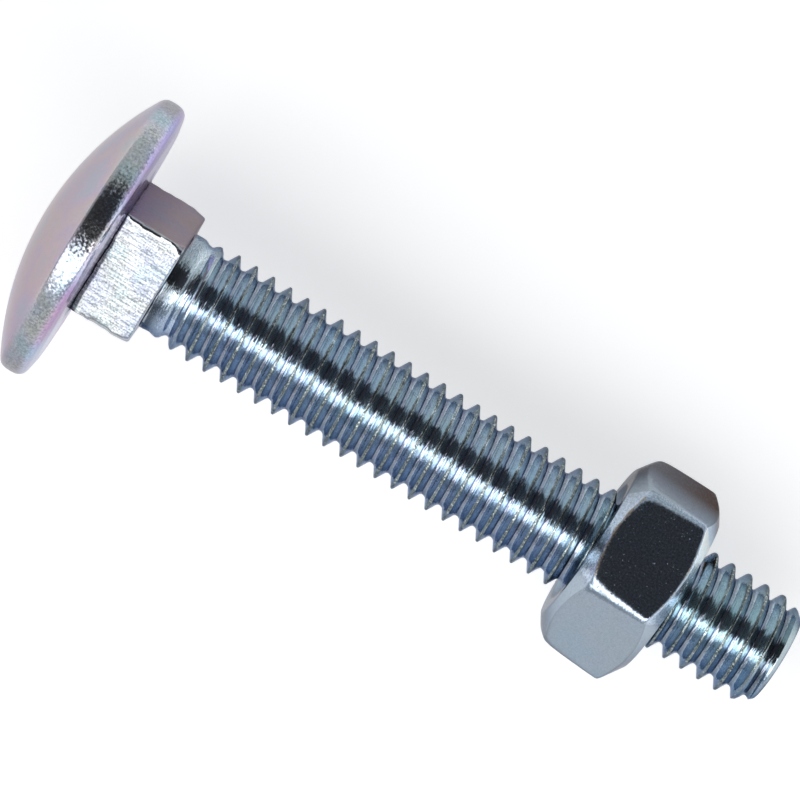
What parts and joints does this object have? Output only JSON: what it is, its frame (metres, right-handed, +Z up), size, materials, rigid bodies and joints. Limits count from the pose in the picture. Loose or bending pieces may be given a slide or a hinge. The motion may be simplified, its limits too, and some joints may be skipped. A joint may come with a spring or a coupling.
{
  "type": "carriage bolt with nut",
  "caption": "Cup head bolt with a square neck and a thread along its whole shank, with a hexagon nut run on near the tip.",
  "frame": {"origin": "on the floor the bolt lies on, under the middle of its bounding box", "axes": "+X runs level from the head towards the tip, +Z is up; the bolt's own axis slopes down towards the tip by 4.88 degrees, as it rests on its head rim and on the nut"},
  "size_m": [0.0428, 0.0156, 0.0156],
  "materials": {
    "plated_steel": "bright zinc plate",
    "plated_nut": "bright zinc plate"
  },
  "bodies": {
    "bolt": {"bolt": "plated_steel"},
    "hex_nut": {"hex_nut": "plated_nut"}
  },
  "joints": [
    {"name": "nut_travel", "type": "slide", "parent": "bolt", "child": "hex_nut", "axis": [0.9964, 0, -0.0851], "range_m": [-0.023, 0.01]}
  ]
}
